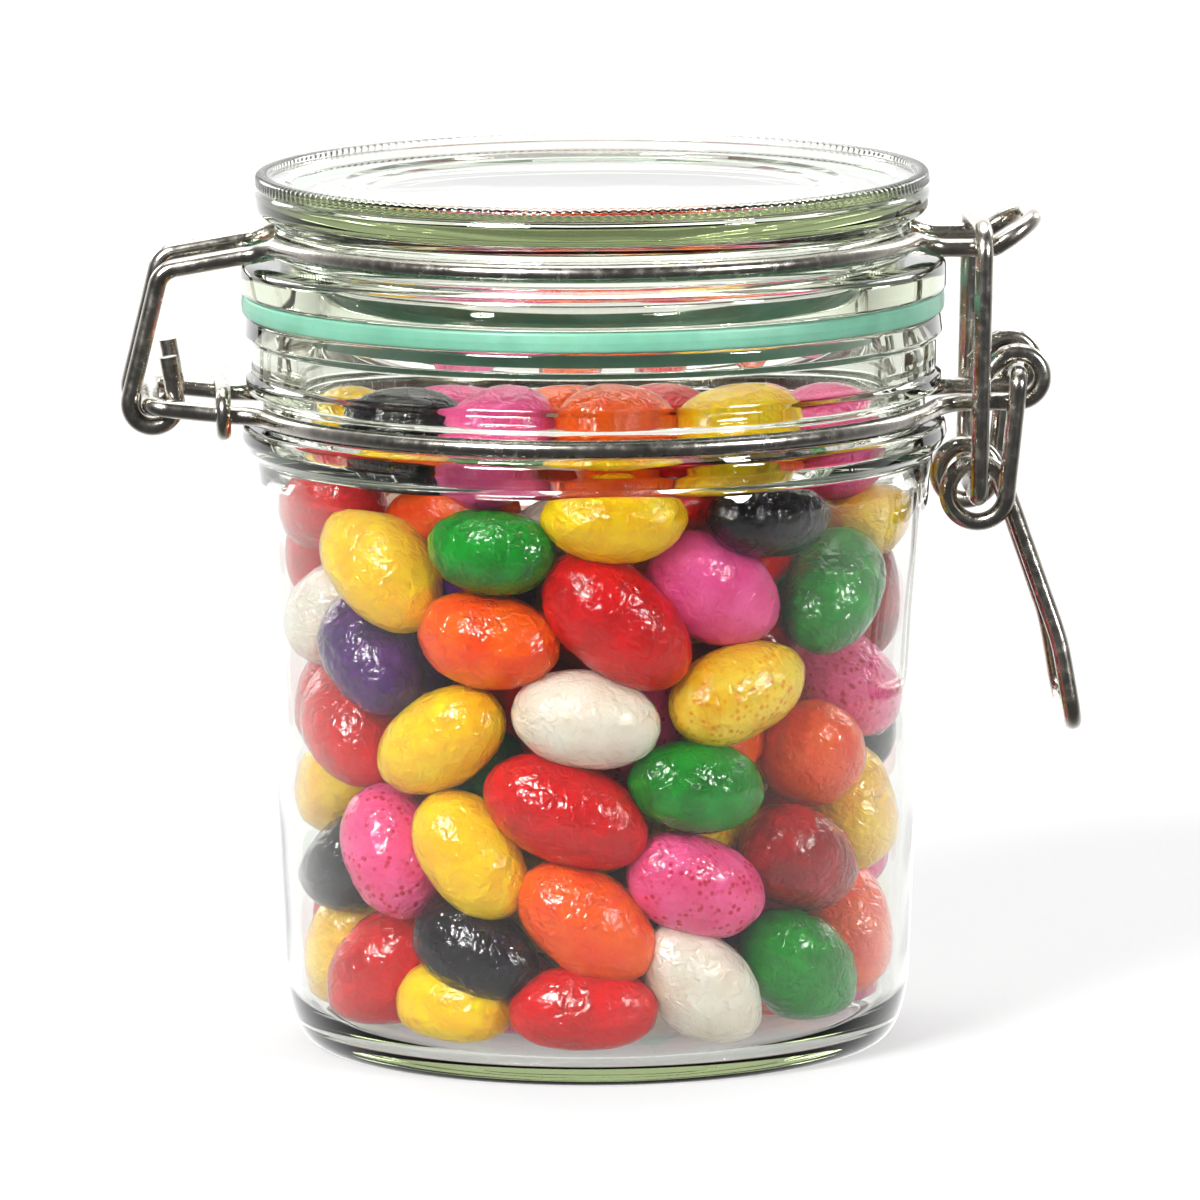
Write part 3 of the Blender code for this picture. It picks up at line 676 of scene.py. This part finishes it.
class Heap:
    """The beans as they lie in the jar. Each is a row of five spheres, in millimetres."""

    def __init__(self, chance):
        self.chance = chance
        inside = np.array([corner[:2] for corner in jar_inside()[4:]])
        self.wall_z, self.wall_r = inside[:, 1], inside[:, 0]
        self.kinds, centres, axes = [], [], []
        for kind, degrees, height, tilt, inward, depth, _, width in SEEN_BEANS:
            centre, axis = self.placed(degrees, height, tilt, inward, depth, width / 2.0)
            self.kinds.append(kind)
            centres.append(centre)
            axes.append(axis)
        self.held = len(centres)
        self.fill(centres, axes)
        self.centre = np.array(centres)
        self.axis = np.array(axes)
        self.goal, self.goal_axis = self.centre[:self.held].copy(), self.axis[:self.held].copy()
        size = 1.0 + 0.05 * chance.standard_normal(len(centres)).clip(-1.6, 1.6)
        slim = 1.0 + 0.03 * chance.standard_normal(len(centres)).clip(-1.6, 1.6)
        self.long, self.wide = LENGTH / 2.0 * size, WIDTH / 2.0 * size * slim
        self.long[:self.held] = [row[6] / 2.0 for row in SEEN_BEANS]
        self.wide[:self.held] = [row[7] / 2.0 for row in SEEN_BEANS]

    def wall_at(self, height):
        """The jar's inner radius at a height."""
        return np.interp(height, self.wall_z, self.wall_r)

    def placed(self, degrees, height, tilt, inward, depth, half_width):
        """The centre and axis of a bean that lies against the wall."""
        turn, lean, yaw = (math.radians(value) for value in (degrees, tilt, inward))
        out = np.array((math.sin(turn), -math.cos(turn), 0.0))
        along = np.array((math.cos(turn), math.sin(turn), 0.0))
        radius = self.wall_at(height) - half_width - 0.3 - depth - 3.0 * math.sin(yaw)
        axis = math.cos(lean) * along + math.sin(lean) * np.array((0.0, 0.0, 1.0))
        axis = math.cos(yaw) * axis - math.sin(yaw) * out
        return out * radius + np.array((0.0, 0.0, height)), axis / np.linalg.norm(axis)

    def fill(self, centres, axes):
        """Adds the other beans, each where it is farthest from those already there."""
        names = list(KIND_SHARES)
        shares = np.array([KIND_SHARES[name] for name in names], float)
        shares /= shares.sum()
        while len(centres) < BEAN_COUNT:
            height = self.chance.uniform(FLOOR + WIDTH / 2.0, HEAP_TOP - WIDTH / 2.0, TRIES)
            radius = (self.wall_at(height) - WIDTH / 2.0) * np.sqrt(self.chance.uniform(0.0, 1.0, TRIES))
            turn = self.chance.uniform(0.0, math.tau, TRIES)
            height = height - HEAP_SLOPE * (radius * np.sin(turn) + MOUTH_R) * (height - FLOOR) / HEAP_TOP
            spots = np.stack((radius * np.cos(turn), radius * np.sin(turn), height), axis=1)
            away = np.linalg.norm(spots[:, None] - np.array(centres)[None], axis=2).min(axis=1)
            centres.append(spots[int(away.argmax())])
            axis = self.chance.standard_normal(3) * (1.0, 1.0, 0.6)
            axes.append(axis / np.linalg.norm(axis))
            self.kinds.append(names[int(self.chance.choice(len(names), p=shares))])

    def spheres(self, grown):
        """Each bean's five spheres: centres, places along its axis, and radii."""
        long, wide = self.long * grown, self.wide * grown
        reach = (long ** 2 - wide ** 2) / long
        along = reach[:, None] * np.array(SPHERE_SHARES)[None]
        radii = wide[:, None] * np.sqrt(1.0 - along ** 2 / (long ** 2 - wide ** 2)[:, None])
        return self.centre[:, None] + self.axis[:, None] * along[..., None], along, radii

    def push(self, bean, along, normal, depth, share, move, turn, count):
        """Collects the move and turn that take a bean out of one contact."""
        aside = normal - self.axis[bean] * np.sum(normal * self.axis[bean], axis=1)[:, None]
        weight = 1.0 + along ** 2 * np.sum(aside ** 2, axis=1) / EASE
        step = (share * depth / weight)[:, None]
        np.add.at(move, bean, normal * step)
        np.add.at(turn, bean, aside * step * (along / EASE)[:, None])
        np.add.at(count, bean, 1.0)

    def relax(self, rounds, grown_from, fall, hold):
        """Moves and turns the beans out of each other and the glass, while they fall and settle."""
        total = len(self.kinds)
        first, second = np.triu_indices(total, 1)
        for turn_no in range(rounds):
            grown = grown_from + (1.0 - grown_from) * min(1.0, 1.4 * turn_no / rounds)
            if turn_no % 8 == 0:
                gap = np.linalg.norm(self.centre[first] - self.centre[second], axis=1)
                near = gap < 1.2 * LENGTH
                one, two = first[near], second[near]
            self.centre[:, 2] -= fall
            spots, along, radii = self.spheres(grown)
            move, turn, count = np.zeros((total, 3)), np.zeros((total, 3)), np.zeros(total)
            apart = spots[one][:, :, None] - spots[two][:, None]
            length = np.linalg.norm(apart, axis=3)
            over = (radii[one][:, :, None] + radii[two][:, None] - length).reshape(len(one), -1)
            pick = over.argmax(axis=1)
            rows = np.nonzero(over.max(axis=1) > 0.0)[0]
            pick_one, pick_two = pick[rows] // 5, pick[rows] % 5
            normal = apart[rows, pick_one, pick_two] / length[rows, pick_one, pick_two][:, None]
            depth = over[rows, pick[rows]]
            self.push(one[rows], along[one[rows], pick_one], normal, depth, 0.5, move, turn, count)
            self.push(two[rows], along[two[rows], pick_two], -normal, depth, 0.5, move, turn, count)
            self.hit_glass(spots, along, radii, move, turn, count)
            calm = 1.0 / np.maximum(1.0, CALM * count)[:, None]
            self.centre += move * calm
            self.axis += turn * calm
            if hold > 0.0:
                pull = (self.goal - self.centre[:self.held]) * HOLD_SHARES
                self.centre[:self.held] += hold * pull
                side = np.sign(np.sum(self.goal_axis * self.axis[:self.held], axis=1))[:, None]
                self.axis[:self.held] += hold * (self.goal_axis * side - self.axis[:self.held])
            self.axis /= np.linalg.norm(self.axis, axis=1)[:, None]
        return float(over.max())

    def hit_glass(self, spots, along, radii, move, turn, count):
        """Pushes the spheres off the wall, the floor, the floor's rounded corner and the heap's top."""
        flat = spots.reshape(-1, 3)
        bean = np.repeat(np.arange(len(self.kinds)), 5)
        place, size = along.ravel(), radii.ravel()
        out = np.hypot(flat[:, 0], flat[:, 1]) + 1e-9
        inward = np.stack((-flat[:, 0] / out, -flat[:, 1] / out, np.zeros(len(out))), axis=1)
        up = np.broadcast_to((0.0, 0.0, 1.0), inward.shape)
        corner_r = INNER_CORNER_R
        centre_r = wall_radius(FLOOR + INNER_CORNER_UP) - WALL - corner_r - WALL_ROOM
        past_r, past_z = out - centre_r, FLOOR + CORNER_ROOM + corner_r - flat[:, 2]
        slant = np.hypot(past_r, past_z) + 1e-9
        corner = inward * (past_r / slant)[:, None] + up * (past_z / slant)[:, None]
        in_corner = (past_r > 0.0) & (past_z > 0.0)
        for normal, depth in (
            (inward, out + size + WALL_ROOM - self.wall_at(flat[:, 2])),
            (up, FLOOR + FLOOR_ROOM + size - flat[:, 2]),
            (-up, flat[:, 2] + size - HEAP_TOP + HEAP_SLOPE * (flat[:, 1] + MOUTH_R)),
            (corner, np.where(in_corner, slant - np.maximum(corner_r - size, 0.0), -1.0)),
        ):
            rows = np.nonzero(depth > 0.0)[0]
            self.push(bean[rows], place[rows], normal[rows], depth[rows], 1.0, move, turn, count)

    def cleared(self, shell):
        """A bean's surface points, moved clear of the glass."""
        out = np.hypot(shell[:, 0], shell[:, 1])
        corner_z = FLOOR + INNER_CORNER_UP
        drop = np.clip((corner_z - shell[:, 2]) / INNER_CORNER_UP, 0.0, 0.999)
        room = self.wall_at(np.maximum(shell[:, 2], corner_z))
        room = room - INNER_CORNER_R * (1.0 - np.sqrt(1.0 - drop ** 2))
        over = out + GLASS_FREE - room
        worst = int(over.argmax())
        if over[worst] > 0.0:
            shell = shell - np.array((shell[worst, 0], shell[worst, 1], 0.0)) / out[worst] * over[worst]
        rise = FLOOR + 0.5 + GLASS_FREE - shell[:, 2].min()
        return shell + np.array((0.0, 0.0, max(0.0, rise)))

    def settle(self):
        """The whole settling, from loose to packed."""
        self.relax(500, 0.72, 0.02, 0.20)
        self.relax(500, 1.0, 0.05, 0.12)
        return self.relax(300, 1.0, 0.0, 0.08)


def bean_shapes(chance, count):
    """Some bean shapes of unit half-axes, each a little egg-shaped, bent and lumpy, and their faces."""
    ball = bmesh.new()
    bmesh.ops.create_icosphere(ball, subdivisions=5, radius=1.0)
    base = np.array([spot.co for spot in ball.verts])
    faces = [[spot.index for spot in face.verts] for face in ball.faces]
    ball.free()
    shapes = []
    for _ in range(count):
        egg, bow = chance.uniform(-0.07, 0.07), chance.uniform(-0.05, 0.05)
        full = chance.uniform(0.0, 0.05)
        start = Vector(chance.uniform(-50.0, 50.0, 3))
        lumps = np.array([
            noise.noise(Vector(spot * (1.4, 1.0, 1.0)) * 1.1 + start) * 0.030
            + noise.noise(Vector(spot * (1.5, 1.0, 1.0)) * 3.4 + start) * 0.016 for spot in base])
        along = base[:, 0]
        width = 1.0 + egg * along + full * (1.0 - along ** 2) * along ** 2 * 4.0
        shape = base * np.stack((np.ones(len(base)), width, width), axis=1)
        shape[:, 2] += bow * (along ** 2 - 0.3)
        shapes.append(shape * (1.0 + lumps)[:, None])
    return shapes, faces


def beans():
    """The jelly beans, one piece for each kind, over a small core."""
    chance = np.random.default_rng(SEED)
    heap = Heap(chance)
    worst = heap.settle()
    print(f"beans: {len(heap.kinds)}, deepest overlap {worst:.2f} mm")
    shapes, faces = bean_shapes(chance, SHAPE_COUNT)
    points = {kind: [] for kind in KIND_COLOURS}
    picked = {kind: [] for kind in KIND_COLOURS}
    for index, kind in enumerate(heap.kinds):
        centre, axis = heap.centre[index], heap.axis[index]
        shape = shapes[int(chance.integers(len(shapes)))]
        roll = chance.uniform(0.0, math.tau)
        inside = math.hypot(centre[0], centre[1]) < CORE_R - 3.0
        if inside and CORE_LOW + 4.0 < centre[2] < CORE_HIGH - 6.0:
            continue
        aside = np.cross(axis, (0.3, 0.2, 0.93))
        aside /= np.linalg.norm(aside)
        third = np.cross(axis, aside)
        side = math.cos(roll) * aside + math.sin(roll) * third
        frame_of = np.stack((axis, side, np.cross(axis, side)), axis=0)
        long, wide = heap.long[index], heap.wide[index]
        start = len(points[kind]) * len(shape)
        points[kind].append(heap.cleared((shape * (long, wide, wide)) @ frame_of + centre))
        picked[kind].append(start)
    for kind in KIND_COLOURS:
        if not points[kind]:
            continue
        every = np.concatenate(points[kind]) * MM
        all_faces = [[start + corner for corner in face] for start in picked[kind] for face in faces]
        mesh = bpy.data.meshes.new("beans_" + kind)
        mesh.from_pydata(every.tolist(), [], all_faces)
        mesh.shade_smooth()
        add_piece("beans_" + kind, mesh, bean_material(kind), "jelly_beans", JAR_BODY, "beans")


def core():
    """The lumpy core that shows only deep between the beans."""
    outline = [(0.0, CORE_HIGH, 0.0), (CORE_R * 0.6, CORE_HIGH, 6.0), (CORE_R, CORE_HIGH - 12.0, 8.0)]
    outline += [(CORE_R, z, 0.0) for z in np.arange(CORE_HIGH - 18.0, CORE_LOW + 10.0, -4.0)]
    outline += [(CORE_R, CORE_LOW + 8.0, 8.0), (CORE_R * 0.6, CORE_LOW, 6.0), (0.0, CORE_LOW, 0.0)]

    def lumpy(turn, radius, height):
        spot = Vector((radius * math.cos(turn), radius * math.sin(turn), height)) * 95.0
        return radius * (1.0 + 0.09 * noise.noise(spot)), height

    mesh = turned("beans_core", rounded(outline), 96, shape=lumpy)
    return add_piece("beans_core", mesh, core_material(), "jelly_beans", JAR_BODY, "beans")


# ---------------------------------------------------------------- stage

def floor():
    """A wide pale floor with a faint painted glow that lifts the jar's shadow, and painted shade that
    makes it greyer well in front, which polished surfaces don't mirror.
    """
    half = 8.0
    mesh = bpy.data.meshes.new("floor")
    corners = [(-half, -half, 0), (half, -half, 0), (half, half, 0), (-half, half, 0)]
    mesh.from_pydata(corners, [], [(0, 1, 2, 3)])
    ground = bpy.data.objects.new("floor", mesh)
    bpy.context.scene.collection.objects.link(ground)
    made = Nodes("pale_floor")
    made.set(Roughness=0.7, Specular_IOR_Level=0.0, Emission_Strength=1.0)
    parts = made.add("ShaderNodeSeparateXYZ")
    made.link(made.place(), parts.inputs[0])
    first, last = FLOOR_SHADE_AND_GLOW_STOPS[0][0], FLOOR_SHADE_AND_GLOW_STOPS[-1][0]
    along = made.add("ShaderNodeMapRange", clamp=True)
    along.inputs["From Min"].default_value, along.inputs["From Max"].default_value = first, last
    made.link(parts.outputs["Y"], along.inputs["Value"])
    # Painted shade in the base colour well in front, and painted glow in the emission colour.
    for column, socket in ((1, "Base Color"), (2, "Emission Color")):
        stops = [((row[0] - first) / (last - first), (row[column],) * 3 + (1.0,)) for row in FLOOR_SHADE_AND_GLOW_STOPS]
        shade = made.ramp(along.outputs["Result"], stops[0], stops[-1], *stops[1:-1])
        made.link(shade, made.shader.inputs[socket])
    mesh.materials.append(made.material)
    ground.visible_glossy = False


def area_light(name, place, aim, width, height, power):
    """A soft oval lamp that faces a point."""
    lamp = bpy.data.lights.new(name, "AREA")
    lamp.shape = "ELLIPSE"
    lamp.size, lamp.size_y = width, height
    lamp.energy = power
    made = bpy.data.objects.new(name, lamp)
    bpy.context.scene.collection.objects.link(made)
    made.location = place
    made.rotation_mode = "QUATERNION"
    made.rotation_quaternion = (Vector(aim) - Vector(place)).to_track_quat("-Z", "Y")


def sky():
    """A world that is bright behind the jar, dimmer overhead and at its sides, and dark in front."""
    world = bpy.data.worlds.new("studio")
    bpy.context.scene.world = world
    world.use_nodes = True
    tree = world.node_tree
    place = tree.nodes.new("ShaderNodeTexCoord")
    parts = tree.nodes.new("ShaderNodeSeparateXYZ")
    half = tree.nodes.new("ShaderNodeMath")
    half.operation = "MULTIPLY_ADD"
    half.inputs[1].default_value, half.inputs[2].default_value = 0.5, 0.5
    ramp = tree.nodes.new("ShaderNodeValToRGB")
    stops = ramp.color_ramp.elements
    stops.new(0.4)
    stops.new(0.6)
    for stop, (spot, bright) in zip(stops, SKY_STOPS):
        stop.position = spot
        stop.color = (bright, bright, bright, 1.0)
    tree.links.new(place.outputs["Generated"], parts.inputs[0])
    tree.links.new(parts.outputs["Y"], half.inputs[0])
    tree.links.new(half.outputs[0], ramp.inputs["Fac"])
    tree.links.new(ramp.outputs["Color"], tree.nodes["Background"].inputs["Color"])


def camera():
    """The camera at the viewing distance and height at which the jar looks as it should."""
    lens = bpy.data.cameras.new("camera")
    lens.lens = CAMERA_LENS
    lens.sensor_width = CAMERA_SENSOR
    eye = bpy.data.objects.new("camera", lens)
    bpy.context.scene.collection.objects.link(eye)
    eye.location = CAMERA_PLACE
    eye.rotation_mode = "QUATERNION"
    roll = Quaternion((0.0, 0.0, 1.0), math.radians(CAMERA_ROLL_DEG))
    eye.rotation_quaternion = (CAMERA_AIM - CAMERA_PLACE).to_track_quat("-Z", "Y") @ roll
    bpy.context.scene.camera = eye


def main():
    """Builds every piece and the stage."""
    glass = glass_material()
    steel = steel_material()
    jar_glass(glass)
    lid_glass(glass)
    gasket_ring(rubber_material())
    for make in (lid_wire, neck_wire, clip_ring, link, lever):
        make(steel)
    core()
    beans()
    floor()
    sky()
    for lamp in LAMPS:
        area_light(*lamp)
    camera()
    scene = bpy.context.scene
    scene.view_settings.view_transform = "Standard"
    scene.view_settings.look = "None"
    scene.cycles.sample_clamp_indirect = 0.0
    scene.cycles.max_bounces = 8


main()
